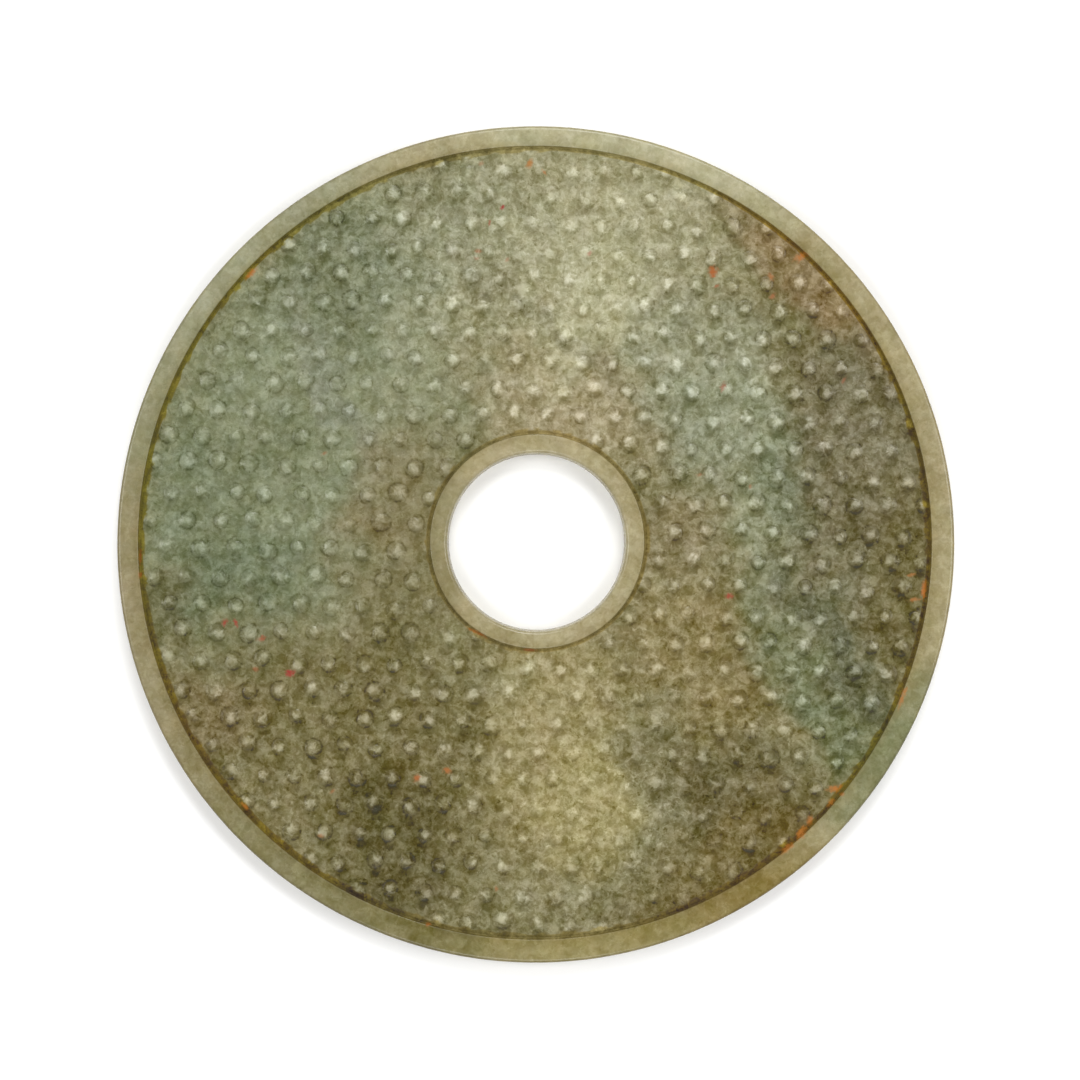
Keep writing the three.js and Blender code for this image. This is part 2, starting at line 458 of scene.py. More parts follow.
def field_face(side):
    """The flat field of one face, as points and triangles. side is 1 for the front and -1 for the back."""
    curled = side > 0
    outer_ring = ring(FIELD_OUT, 0, OUTER_COUNT)[:, :2]
    hole_ring = ring(FIELD_IN, 0, HOLE_COUNT)[:, :2]
    edges = [ring(FIELD_OUT - LIP, 0, OUTER_COUNT)[:, :2], ring(FIELD_IN + LIP, 0, HOLE_COUNT)[:, :2]]
    places = seat_places * (side, 1)
    grains = np.concatenate([
        grain_points(place, start if curled else 0, size, hand, curled)
        for place, start, size, hand in zip(places, *(seat_facts[n] for n in ("start", "size", "hand")))
    ])
    # Between the grains, an even staggered net.
    step, clear = FRONT_NET if curled else BACK_NET
    across = np.arange(-OUTER, OUTER, step * math.sqrt(3) / 2)
    net = np.array([(x + (number % 2) * step / 2, y)
                    for number, y in enumerate(across) for x in np.arange(-OUTER, OUTER, step)])
    nearest = np.full(len(net), np.inf)
    for place, size in zip(places, seat_facts["size"]):
        np.minimum(nearest, np.hypot(*(net - place).T) / size, out=nearest)
    inside = np.concatenate([grains, net[nearest > clear]])
    margin = LIP + 0.2
    keep = np.hypot(*(inside - circle_centre(FIELD_OUT)).T) < FIELD_OUT - margin
    keep &= np.hypot(*(inside - circle_centre(FIELD_IN)).T) > FIELD_IN + margin
    plan = np.concatenate([outer_ring, hole_ring, *edges, inside[keep]])
    loops = []
    for first, count in ((0, OUTER_COUNT), (OUTER_COUNT, HOLE_COUNT)):
        loops += [(first + n, first + (n + 1) % count) for n in range(count)]
    made = delaunay_2d_cdt([Vector(p) for p in plan.tolist()], loops, [], 0, TOO_CLOSE)
    points = np.array([tuple(p) for p in made[0]])
    faces = np.array(made[2])
    # Delaunay's rule fills the hole too. Those triangles have all their corners on its ring.
    from_hole = np.hypot(*(points - circle_centre(FIELD_IN)).T)
    faces = faces[from_hole[faces].max(axis=1) > FIELD_IN + LIP / 2]
    return np.column_stack([points, np.full(len(points), side * FLOOR)]), faces[:, ::side]


def cut_blank():
    """The whole closed blank as a mesh, whose points know their dirt, their share of rim and their side."""
    parts = []
    for side in (1, -1):
        points, faces = field_face(side)
        nothing = np.zeros(len(points))
        parts.append((points, faces.tolist(), nothing, nothing, nothing + side))
        print("front" if side > 0 else "back", "field:", len(faces), "triangles")
    for points, faces, dirt, rim in (outer_band, hole_band):
        parts.append((points, faces, dirt, rim, np.zeros(len(points))))
    points, *known = (np.concatenate([part[n] for part in parts]) for n in (0, 2, 3, 4))
    faces, first = [], 0
    for part in parts:
        faces += [tuple(first + corner for corner in face) for face in part[1]]
        first += len(part[0])
    blank = bpy.data.meshes.new("blank")
    blank.from_pydata((points + (0, 0, RIM)).tolist(), [], faces)
    for name, values in zip(("dirt", "rim", "side"), known):
        blank.attributes.new(name, "FLOAT", "POINT").data.foreach_set("value", values.astype(np.float32))
    # The bands share their first and last rings with the fields.
    shell = bmesh.new()
    shell.from_mesh(blank)
    bmesh.ops.remove_doubles(shell, verts=shell.verts, dist=1e-4)
    bmesh.ops.triangulate(shell, faces=shell.faces)
    print("open edges:", sum(not edge.is_manifold for edge in shell.edges))
    shell.to_mesh(blank)
    shell.free()
    return blank


blank = cut_blank()
print("blank:", len(blank.polygons), "triangles")

# %% [markdown]
# ## Carve the grains
# The blank's points are moved up or down by the grain's rule. Sculpting or a displacement picture would
# do it too, but the rule is exact, and its sizes stay inputs. Each point finds the nearest seat, works
# out how far from it and how far round it is, and takes the height of knob, step, mound and cut. Each
# face's corners also store where they are on their own grain, so that the stone can show the curl more
# finely than the mesh could.

# %% The carving tree
BACK_KNOB = 1.3     # the back's knobs are wider by this, and have no step or curl
FADE = 0.4          # mm, over which the carving ends at the field's edges


def carving_tree(stone):
    """The tree that carves the blank and gives it its stone. Its inputs are the sizes of a grain."""
    tree, size = new_tree("grain carving", GRAIN)
    node = partial(add, tree)
    position = node("GeometryNodeInputPosition")
    side = node("GeometryNodeInputNamedAttribute", {"Name": "side"})
    back = node(MATH + " LESS_THAN", side, -0.5)
    front = node(MATH + " GREATER_THAN", side, 0.5)
    split = node("ShaderNodeSeparateXYZ", position)
    # The back's grains are the front's, seen in a mirror.
    mirror = node(TIMES_PLUS, back, -2.0, 1.0)
    plan = node(JOIN, node(TIMES, split.outputs["X"], mirror), split.outputs["Y"])
    seats = node("GeometryNodeGroup", node_tree=seats_tree)
    for socket in seats.inputs:
        if socket.name in SEATS:
            socket.default_value = SEATS[socket.name]

    def nearest_grain(nearest):
        """What is known of the grain with this number, and a point's place on it, sized as it is."""
        known = {}
        for name in ("position", *DRAWS, "kept"):
            kind = "FLOAT_VECTOR" if name == "position" else "FLOAT"
            fact = (node("GeometryNodeInputPosition") if name == "position"
                    else node("GeometryNodeInputNamedAttribute", {"Name": name}))
            known[name] = node("GeometryNodeSampleIndex",
                               {"Geometry": seats, "Value": fact, "Index": nearest}, data_type=kind)
        away = node(VECTOR + " SUBTRACT", plan, known["position"])
        return node(VECTOR + " DIVIDE", away, known["size"]), known

    nearest = node("GeometryNodeSampleNearest", {"Geometry": seats, "Sample Position": plan})
    here, known = nearest_grain(nearest)
    away, cut, step = curl_rule(node, size, here, known["start"], known["hand"])
    wide = node(RANGE, {"Value": front, "To Min": BACK_KNOB, "To Max": 1.0})
    share = node(OVER, away, node(TIMES, size["Knob Radius"], wide))
    slope = node(MINUS, 1.0, node(POWER, share, size["Knob Roundness"]))
    knob = node(TIMES, node(LARGER, slope, 0.0), size["Knob Height"])
    step = node(TIMES, node(TIMES, step, front), size["Step Height"])
    depth = node(TIMES, node(TIMES, cut, size["Cut Depth"]), node(TIMES, known["crisp"], front))
    mound = node(RANGE, {"Value": away, "From Min": size["Knob Radius"], "From Max": size["Mound Reach"],
                         "To Min": size["Mound Height"], "To Max": 0.0}, **SMOOTH)
    raised = node(PLUS, knob, node(PLUS, step, mound))
    carved = node(TIMES, node(MINUS, raised, depth), known["kept"])

    wave = node(NOISE, {"Vector": position, "W": size["Seed"], "Detail": 2.0,
                        "Scale": node(OVER, 1.0, size["Wave Length"])}, noise_dimensions="4D")
    uneven = node(TIMES, node(MINUS, wave, 0.5), size["Wave Height"])
    height = node(TIMES_PLUS, uneven, 2.0, carved)
    for (radius, x, y), outward in ((STRUCK[2], 1.0), (STRUCK[3], -1.0)):
        flat = node(VECTOR + " MULTIPLY", position, (1.0, 1.0, 0.0))
        reach = node(VECTOR + " DISTANCE", flat, (x, y, 0.0)).outputs["Value"]
        within = node(TIMES, node(MINUS, reach, radius), outward)
        ramp = node(RANGE, {"Value": within, "From Min": 0.0, "From Max": FADE})
        height = node(TIMES, height, ramp)
    lift = node(JOIN, 0.0, 0.0, node(TIMES, height, side))
    geometry = node("GeometryNodeSetPosition", {"Geometry": size["Geometry"], "Offset": lift})

    # One grain for all three corners of a face, so that its pattern isn't torn between two.
    middle = node("GeometryNodeFieldOnDomain", plan, domain="FACE", data_type="FLOAT_VECTOR")
    nearest = node("GeometryNodeSampleNearest", {"Geometry": seats, "Sample Position": middle})
    nearest = node("GeometryNodeFieldOnDomain", nearest, domain="FACE", data_type="INT")
    here, known = nearest_grain(nearest)
    geometry = node(STORE, {"Geometry": geometry, "Name": "on_grain", "Value": here},
                    data_type="FLOAT2", domain="CORNER")
    known["crisp"] = node(TIMES, known["crisp"], front)
    for name in ("start", "hand", "crisp", "kept"):
        geometry = node(STORE, {"Geometry": geometry, "Name": name, "Value": known[name]}, domain="FACE")
    geometry = node("GeometryNodeTransform", {"Geometry": geometry, "Scale": (MM, MM, MM)})
    geometry = node("GeometryNodeSetShadeSmooth", {"Geometry": geometry})
    geometry = node("GeometryNodeRealizeInstances", geometry)
    node("NodeGroupOutput", node("GeometryNodeSetMaterial", {"Geometry": geometry, "Material": stone}))
    return tree


stone = bpy.data.materials.new("nephrite")
mesh = evaluated(carving_tree(stone), blank, "bi_disc_stone", GRAIN)
disc = bpy.data.objects.new("bi_disc_stone", mesh)
bpy.context.collection.objects.link(disc)
print("carved disc:", len(mesh.polygons), "triangles")

# %% [markdown]
# ## Traces of cinnabar
# Red cinnabar was strewn in the tomb, and a little of it still clings in the cuts. Painting it by hand
# would need a picture. A short list of specks, each with a place, a size and a hue, is enough, and the
# mesh stores for each face where it lies on its nearest speck, as it did for the grains.

# %% Lay the specks
# x, y, half length, half width, angle, share of orange, strength
CINNABAR = [
    (34.9, 53.6, 1.4, 1.0, 80, 0.55, 1.0), (35.6, 50.9, 0.7, 0.4, 20, 0.4, 0.6),
    (52.1, 56.6, 1.5, 0.8, 30, 0.8, 0.9), (46.3, 52.6, 0.9, 0.6, -60, 0.7, 0.7),
    (46.7, 48.9, 0.8, 0.5, 40, 0.5, 0.6), (-1.2, 75.0, 1.0, 0.7, 70, 0.9, 0.9),
    (1.6, 73.3, 0.8, 0.4, -50, 0.8, 0.7), (-6.6, 66.4, 0.6, 0.5, 60, 0.0, 1.0),
    (-9.1, 63.3, 0.7, 0.3, 80, 0.2, 0.6), (-61.3, -15.4, 0.9, 0.5, 60, 0.1, 0.9),
    (-59.1, -15.4, 0.9, 0.4, -70, 0.1, 0.9), (-54.0, -18.5, 0.9, 0.6, 20, 0.3, 0.8),
    (-48.4, -25.4, 1.1, 0.8, 10, 0.05, 1.0), (-55.3, -24.6, 0.7, 0.5, 0, 0.4, 0.5),
    (-23.4, -46.1, 0.9, 0.7, 60, 0.6, 0.9), (-17.4, -44.5, 1.0, 0.7, -20, 0.7, 0.9),
    (38.0, -10.2, 0.9, 0.6, 0, 0.15, 0.9), (36.9, 31.1, 1.1, 0.6, 70, 0.2, 0.6),
    (60.7, 32.3, 0.8, 0.4, 60, 0.4, 0.5), (10.6, 57.3, 0.7, 0.4, 50, 0.3, 0.6),
    (32.3, 13.7, 0.7, 0.4, 10, 0.5, 0.4), (42.2, 11.4, 0.7, 0.4, 90, 0.5, 0.4),
    (-41.7, 17.9, 0.7, 0.4, 30, 0.5, 0.4), (-40.1, -48.7, 0.8, 0.4, 45, 0.6, 0.5),
    (-42.3, -57.4, 0.7, 0.5, 0, 0.6, 0.5), (-11.3, 57.7, 0.8, 0.5, 0, 0.5, 0.5),
    (-7.8, -67.8, 0.6, 0.4, 90, 0.6, 0.5), (-56.1, 53.4, 1.6, 0.6, 45, 0.8, 0.9),
    (-57.3, -51.6, 1.2, 0.5, -40, 0.8, 0.8), (-21.2, -74.9, 0.6, 0.4, 0, 0.7, 0.8),
    (73.9, -6.0, 1.0, 0.4, 10, 0.8, 0.7), (76.4, -9.2, 2.6, 0.6, 84, 0.75, 1.0),
    (74.6, -10.9, 1.4, 0.5, 10, 0.8, 0.8), (72.2, -30.1, 2.4, 0.5, 70, 0.85, 0.8),
    (59.0, -48.1, 1.6, 0.8, 10, 0.85, 1.0), (58.2, -50.8, 1.2, 0.6, 50, 0.9, 0.8),
    (54.0, -54.4, 1.0, 0.7, 80, 0.8, 0.9), (52.3, -56.9, 1.8, 0.8, 55, 0.85, 1.0),
    (49.6, -59.8, 1.9, 0.6, 40, 0.85, 0.9), (-11.7, -17.3, 2.3, 0.4, -27, 0.7, 0.8),
    (-1.2, -20.8, 1.4, 0.35, -3, 0.3, 0.6), (-77.9, -2.3, 2.2, 0.35, 90, 0.3, 0.5),
    (-77.9, -6.0, 0.7, 0.4, 90, 0.5, 0.6), (60.3, -49.2, 0.7, 0.4, 30, 0.8, 0.7),
    (-10.8, 75.0, 0.8, 0.5, 20, 0.6, 0.4), (-5.7, 56.0, 0.6, 0.4, 50, 0.4, 0.4),
    (-11.6, 56.3, 0.7, 0.5, 0, 0.4, 0.4),
]


def lay_specks(mesh):
    """Stores for each corner its place on the nearest speck, which has radius 1 there, and for each face
    that speck's orange and strength. The back has none."""
    x, y, half_length, half_width, angle, orange, strength = np.array(CINNABAR).T
    points = numbers(mesh, "position", 3) / MM
    corner_points = np.empty(len(mesh.loops), np.int32)
    mesh.loops.foreach_get("vertex_index", corner_points)
    corners = points[corner_points].reshape(-1, 3, 3)
    middles = corners.mean(axis=1)
    nearest = np.argmin(np.hypot(middles[:, :1] - x, middles[:, 1:2] - y), axis=1)
    away = corners[:, :, :2] - np.stack([x, y], axis=1)[nearest][:, None]
    turn = np.radians(angle)[nearest][:, None]
    along = away[..., 0] * np.cos(turn) + away[..., 1] * np.sin(turn)
    across = away[..., 1] * np.cos(turn) - away[..., 0] * np.sin(turn)
    place = np.stack([along / half_length[nearest][:, None], across / half_width[nearest][:, None]],
                     axis=-1)
    stored = mesh.attributes.new("on_speck", "FLOAT2", "CORNER")
    stored.data.foreach_set("vector", place.astype(np.float32).ravel())
    front = middles[:, 2] > THICK / 2
    for name, values in (("orange", orange[nearest]), ("cinnabar", strength[nearest] * front)):
        mesh.attributes.new(name, "FLOAT", "FACE").data.foreach_set("value", values.astype(np.float32))


lay_specks(mesh)
print(len(CINNABAR), "specks of cinnabar")

# %% [markdown]
# ## The colours of the stone
# Nephrite is a felt of fine fibres, and burial has turned parts of this one from grey-green to brown and
# cream. The zones are broad and soft, so each is an ellipse with soft edges, laid over the ones before
# it, and a slow noise bends them all so that no edge looks drawn. The polished rims are paler.

# %% The zones
GROUND, RIM_GROUND = "857f5c", "aba07a"
# name, x, y, half length, half width, angle, colour, strength. At its half sizes it is half as strong.
ZONES = [
    ("sage ground", -44, 27, 50, 27, 60, "868b6d", 1.0),
    ("grey at the top left", -33, 54, 18, 13, 20, "7f8368", 0.6),
    ("blue-green at the left edge", -71, 12, 8, 14, 0, "768064", 0.5),
    ("teal", -58, -5, 15, 9, 10, "6f775a", 0.8),
    ("blue-grey vein", -39, 30, 18, 4, -62, "868873", 0.6),
    ("pale sage", -22, 37, 16, 10, 70, "999a7b", 0.7),
    ("cream", 11, 56, 30, 22, 75, "a9a583", 0.95),
    ("bright cream", 14, 50, 12, 8, 60, "b6b491", 0.8),
    ("sage at the upper right", 33, 38, 13, 10, -50, "9c9c7f", 0.9),
    ("green streak", 49, 0, 38, 8, -66, "8f9172", 0.9),
    ("brown at the right", 66, 20, 44, 15, 88, "766f52", 0.9),
    ("grey-brown", 60, 27, 13, 9, -75, "817b60", 0.8),
    ("dark right edge", 73, -9, 17, 7, 90, "6e6640", 0.8),
    ("reddish at the upper right", 53, 56, 20, 7, -50, "96825f", 0.8),
    ("green at the lower right", 62, -37, 12, 7, -55, "707552", 0.8),
    ("beige above the hole", 8, 28, 18, 10, -20, "a69a78", 0.8),
    ("bright patch above the hole", 7, 42, 13, 7, 50, "b4b08d", 0.6),
    ("pale at the top", -13, 64, 15, 9, -10, "a09f80", 0.6),
    ("brown left of the hole", -27, 8, 14, 10, 80, "887b58", 0.6),
    ("brown right of the hole", 29, 2, 11, 7, 80, "8b805f", 0.7),
    ("grey-green right of the hole", 31, 25, 14, 10, -60, "979b80", 0.7),
    ("grey-green beside it", 49, 14, 12, 6, -75, "838a70", 0.6),
    ("olive-brown at the lower left", -42, -42, 36, 24, -10, "7e7652", 1.0),
    ("mauve", -64, -31, 9, 8, 0, "8b7c5c", 0.5),
    ("darkest olive", -29, -62, 15, 10, 80, "625b39", 0.8),
    ("pale bottom", 3, -35, 25, 15, 88, "9d9268", 0.95),
    ("pale below the hole", -6, -28, 8, 7, 0, "a39d77", 0.6),
    ("yellow bottom", 12, -50, 11, 9, 70, "a49a6b", 0.8),
    ("ochre", 34, -24, 18, 11, -50, "8b7e55", 0.9),
    ("dark at the lower right", 43, -51, 18, 9, -20, "6b6342", 0.9),
    ("brown edge at the lower right", 40, -61, 24, 8, 30, "73643a", 0.7),
    ("dark vein", 0, 47, 30, 2.5, -44, "89846a", 0.4),
    ("dark green at the right", 58, -25, 21, 8, -62, "656649", 0.35),
    ("green band", 54, -28, 19, 4, -62, "737a58", 0.5),
    ("slate vein", 59, -20, 19, 2.6, -60, "5f6046", 0.65),
    ("brown stain at the left edge", -72, -12, 7, 8, 0, "6c6847", 0.7),
]
RIM_ZONES = [
    ("pale top", 18, 77, 38, 12, -14, "b8b390", 0.95),
    ("sage at the upper left", -56, 56, 34, 12, 46, "a09f80", 0.95),
    ("green at the left", -77, 24, 16, 8, 80, "979575", 0.9),
    ("beige at the left", -76, -20, 34, 10, 105, "978d6a", 0.95),
    ("olive at the lower left", -50, -64, 26, 10, -38, "857f5a", 0.95),
    ("darkest olive", -20, -79, 12, 8, -14, "7a744a", 0.9),
    ("yellow bottom", 14, -80, 24, 8, 5, "978c5c", 0.95),
    ("ochre", 43, -70, 14, 8, 32, "8c7c4b", 0.95),
    ("grey-green at the lower right", 70, -42, 15, 8, 58, "828460", 0.95),
    ("shaded side of the hole", -19, 2, 14, 6, 90, "988f6b", 0.9),
]


def linear(code):
    """The linear colour that a shader uses, from an sRGB hex code."""
    parts = [int(code[first:first + 2], 16) / 255 for first in (0, 2, 4)]
    return (*(part / 12.92 if part <= 0.04045 else ((part + 0.055) / 1.055) ** 2.4 for part in parts), 1.0)


def lay_zones(node, plan, ground, zones):
    """Lays soft ellipses over a ground colour, one after the other."""
    colour = linear(ground)
    for _, x, y, half_length, half_width, angle, code, strength in zones:
        local = node("ShaderNodeMapping",
                     {"Vector": plan, "Location": (x, y, 0), "Rotation": (0, 0, math.radians(angle)),
                      "Scale": (half_length, half_width, 1)}, vector_type="TEXTURE")
        reach = node(VECTOR + " LENGTH", local).outputs["Value"]
        share = node(RANGE, {"Value": reach, "From Min": 0.5, "From Max": 1.5, "To Min": strength,
                             "To Max": 0.0}, **SMOOTH)
        colour = node("ShaderNodeMix", {"Factor": share, "A": colour, "B": linear(code)}, data_type="RGBA")
    return colour


print(len(ZONES), "zones on the field and", len(RIM_ZONES), "on the rims")

# %% [markdown]
# ## The stone
# Waxy nephrite, hand-polished on the rims and dull between the grains. To the eye it is a mottled,
# slightly see-through stone with a soft gloss. A picture could be painted and laid on, but it would
# smear on the edge. Here colour, gloss and pits all come from noises, whose sizes are the stone's own
# in millimetres. The next cells each make one layer. What they share is kept by name in one bundle, at,
# which holds what is known at a point.

# %% Fibres and strokes
BEND = 16.0                     # mm, how often the zones' edges wander
CLOUD = 20.0                    # mm, the slow drift of light and dark
BLOTCH = 5.0                    # mm, with finer ones down to a third of a millimetre
FELT = 0.9                      # mm, where the felt of fibres shows
GRIT = 1.7                      # mm, patches with sharper edges
TUFT = 0.75                     # mm, one tuft of fibres
STROKE_ANGLES = (25, 80, 150)
STROKE_SIZE = (3.2, 0.5, 1.0)   # mm, along and across
MIDDLE = (0.5, 0.5, 0.5)        # of a noise's colour


def fibres(node):
    """Starts the bundle: what the mesh stored, and the noises, from slow to fine."""
    at = SimpleNamespace()
    at.place = node(VECTOR + " SCALE", {"Vector": node("ShaderNodeTexCoord").outputs["Object"],
                                        "Scale": 1 / MM})
    at.plan = node(VECTOR + " MULTIPLY", at.place, (1, 1, 0))
    for name in ("dirt", "rim", "kept", "cinnabar", "orange", "start", "hand", "crisp"):
        setattr(at, name, node("ShaderNodeAttribute", attribute_name=name).outputs["Fac"])
    at.field = node(MINUS, 1.0, at.rim)
    at.bend = node(NOISE, {"Vector": at.place, "Scale": 1 / BEND, "Detail": 3.0, "Roughness": 0.55})
    at.cloud = node(NOISE, {"Vector": at.place, "Scale": 1 / CLOUD, "Detail": 1.5})
    at.blotch = node(NOISE, {"Vector": at.place, "Scale": 1 / BLOTCH, "Detail": 4.0, "Roughness": 0.78})
    at.felt = node(NOISE, {"Vector": at.place, "Scale": 1 / FELT, "Detail": 1.0, "Distortion": 1.2})
    at.grit = node(NOISE, {"Vector": at.place, "Scale": 1 / GRIT, "Detail": 3.0, "Roughness": 0.65,
                           "Distortion": 0.6})
    # Each cell of this pattern is one tuft of fibres, pale or dark. The felt shakes its edges.
    shaken = node(VECTOR + " MULTIPLY_ADD",
                  node(VECTOR + " SUBTRACT", at.felt.outputs["Color"], MIDDLE),
                  (2 * TUFT, 2 * TUFT, 0), at.place)
    tufts = node("ShaderNodeTexVoronoi", {"Vector": shaken, "Scale": 1 / TUFT})
    at.tuft = node(RANGE, {"Value": tufts, "From Min": 0.15, "From Max": 0.5, "To Min": 1.0,
                           "To Max": 0.0}, **SMOOTH)
    at.draw = node("ShaderNodeSeparateColor", tufts.outputs["Color"]).outputs["Red"]
    # Short strokes left by grinding, in three directions.
    at.strokes = 0.0
    for angle in STROKE_ANGLES:
        along = node("ShaderNodeMapping", {"Vector": shaken, "Rotation": (0, 0, math.radians(angle)),
                                           "Scale": STROKE_SIZE}, vector_type="TEXTURE")
        scratch = node(NOISE, {"Vector": along, "Scale": 1.0, "Detail": 1.0})
        scratch = node(RANGE, {"Value": scratch, "From Min": 0.60, "From Max": 0.74, "To Min": 0.0,
                               "To Max": 1.0})
        at.strokes = node(LARGER, at.strokes, scratch)
    return at


# %% The zones on bent ground
BEND_BY = 24.0    # mm, over the whole range of the noise, so mostly under 4


def zoned(node, at):
    """The colour of the zones, with their edges bent."""
    off = node(VECTOR + " SUBTRACT", at.bend.outputs["Color"], MIDDLE)
    at.bent = node(VECTOR + " MULTIPLY_ADD", off, (BEND_BY, BEND_BY, 0), at.plan)
    zones = lay_zones(node, at.bent, GROUND, ZONES)
    rims = lay_zones(node, at.bent, RIM_GROUND, RIM_ZONES)
    return node("ShaderNodeMix", {"Factor": at.rim, "A": zones, "B": rims}, data_type="RGBA")


# %% [markdown]
# ## Mottling
# Light and dark are summed as one tone round 0, and it is added to the colour in the eye's scale, where
# equal steps look equal. It doesn't multiply the colour, since fibres that scatter more light look
# greyer as well as paler. The sage part is smoother than the rest, and so are the polished rims.

# %% Light and dark
FIELD_TONE, RIM_TONE = 0.0, 0.003    # added everywhere
CLOUD_TONE, BLOTCH_TONE, GRIT_TONE = 0.12, 0.33, 0.036
TUFT_DARK, TUFT_PALE = 0.14, 0.09
STROKE_PALE = 0.045
SAGE_MIDDLE, SAGE_IN, SAGE_OUT = (-44.0, 12.0, 0.0), 25.0, 50.0    # mm, the smooth part and its soft edge
COARSER = 1.4                        # times as strong outside it


def mottled(node, at):
    """The tone of the fibres, tufts and strokes."""
    from_sage = node(VECTOR + " DISTANCE", at.bent, SAGE_MIDDLE).outputs["Value"]
    coarse = node(RANGE, {"Value": from_sage, "From Min": SAGE_IN, "From Max": SAGE_OUT, "To Min": 1.0,
                          "To Max": COARSER}, **SMOOTH)
    at.coarse = node(TIMES, coarse, node(TIMES_PLUS, at.rim, -0.5, 1.0))
    tone = node(TIMES_PLUS, node(MINUS, at.cloud, 0.5), CLOUD_TONE,
                node(TIMES_PLUS, at.rim, RIM_TONE - FIELD_TONE, FIELD_TONE))
    patch = node(RANGE, {"Value": at.grit, "From Min": 0.40, "From Max": 0.62, "To Min": -GRIT_TONE,
                         "To Max": GRIT_TONE}, **SMOOTH)
    mottle = node(TIMES_PLUS, node(MINUS, at.blotch, 0.5), BLOTCH_TONE, patch)
    tone = node(TIMES_PLUS, mottle, at.coarse, tone)
    # Where the grains are worn, the tufts and strokes show more.
    worn = node(RANGE, {"Value": at.kept, "From Min": 0.4, "From Max": 0.9, "To Min": 1.4, "To Max": 1.0})
    fleck = node(TIMES, node(TIMES, node(MINUS, at.draw, 0.45), at.tuft), node(TIMES, worn, at.coarse))
    tone = node(TIMES_PLUS, node(SMALLER, fleck, 0.0), TUFT_DARK, tone)
    tone = node(TIMES_PLUS, node(LARGER, fleck, 0.0), TUFT_PALE, tone)
    scored = node(RANGE, {"Value": at.kept, "From Min": 0.5, "From Max": 1.0, "To Min": 2 * STROKE_PALE,
                          "To Max": STROKE_PALE})
    scored = node(TIMES, scored, node(TIMES_PLUS, at.rim, -0.7, 1.0))
    return node(TIMES_PLUS, at.strokes, scored, tone)


# %% [markdown]
# ## Rubbed knobs and dirty curls
# Hands have rubbed each knob pale, and a painted highlight lies on its middle too. Dirt lies along the
# curl's cut.
# Each grain has painted shade on the ground at its lower side, and painted light at its upper side. The
# mesh carves the curl only as finely as its triangles allow, so the same rule draws it here too, from each
# point's place on its grain.

# %% The tone of a grain
TOP_PALE_AND_HIGHLIGHT = 0.120         # the rubbed knob, with a painted highlight at its middle
STEP_SHADE = 0.025       # the step round it
PAINTED_LOW_SHADE, BELOW = 0.056, (0.1, -2.15, 0)     # painted shade on the ground below each grain, and where in mm
# painted light on the ground above each grain, and where in mm
PAINTED_HIGH_LIGHT, ABOVE = 0.012, (-0.1, 2.2, 0)
LINE_SHADE = 0.14        # dirt along the curl
LINE_HALF_WIDTH = 0.37   # mm
EDGE_SHADE = 0.17        # darker where the rims hold dirt, and painted shade on the rounded edge


def grain_toned(node, at, tone):
    """Adds the tone of each grain, of its dirt, and of the painted shade below it and painted light above
    it.
    """
    at.wobble = node(TIMES, node(MINUS, at.felt, 0.5), 0.5)
    here = node("ShaderNodeAttribute", attribute_name="on_grain").outputs["Vector"]
    size = {**GRAIN, "Cut Width": LINE_HALF_WIDTH}
    away, line, step = curl_rule(node, size, here, at.start, at.hand, at.wobble)
    ragged = node(TIMES_PLUS, node(MINUS, at.grit, 0.5), -1.6, away)
    # The knob's pale middle is rubbed wear and a painted highlight.
    top = node(RANGE, {"Value": ragged, "From Min": 0.25, "From Max": 1.4, "To Min": TOP_PALE_AND_HIGHLIGHT,
                       "To Max": 0.0}, **SMOOTH)
    # Away from the sage part, the grains stand out more too.
    bold = node(TIMES, at.kept, node(TIMES_PLUS, at.coarse, 1.5, -0.5))
    tone = node(TIMES_PLUS, top, bold, tone)
    # Painted shade on the ground below each grain and painted light above it, as if lit from the top.
    sides = []
    for middle, most in ((BELOW, PAINTED_LOW_SHADE), (ABOVE, PAINTED_HIGH_LIGHT)):
        reach = node(VECTOR + " DISTANCE", here, middle).outputs["Value"]
        sides.append(node(RANGE, {"Value": reach, "From Min": 0.4, "From Max": 2.1, "To Min": most,
                                  "To Max": 0.0}, **SMOOTH))
    low, high = sides
    low = node(TIMES, low, node(TIMES_PLUS, at.blotch, 3.0, -0.5))
    # The line is broken, since the dirt has stayed in parts of it only.
    stayed = node(RANGE, {"Value": at.grit, "From Min": 0.42, "From Max": 0.58, "To Min": 1.0,
                          "To Max": 0.45})
    at.line = node(TIMES, node(TIMES, line, at.crisp), node(TIMES, stayed, at.field))
    at.grime = node(TIMES_PLUS, step, STEP_SHADE, node(MINUS, low, high))
    tone = node(MINUS, tone, node(TIMES, at.grime, bold))
    tone = node(TIMES_PLUS, node(TIMES, at.line, at.kept), -LINE_SHADE, tone)
    # Dirt on the rims, which on the rounded edge is painted shade as well.
    return node(TIMES_PLUS, node(TIMES, at.dirt, at.rim), -EDGE_SHADE, tone)


# %% Add the tone to the colour
EYE_POWER = 2.2
TONE_HUE = (0.98, 1.0, 1.06)      # paler fibres are a little bluer
WARMTH = (0.045, 0.07)            # how far red and blue wander from place to place
DARKEST = (0.26, 0.25, 0.11)      # of dirt and shade, in the eye's scale


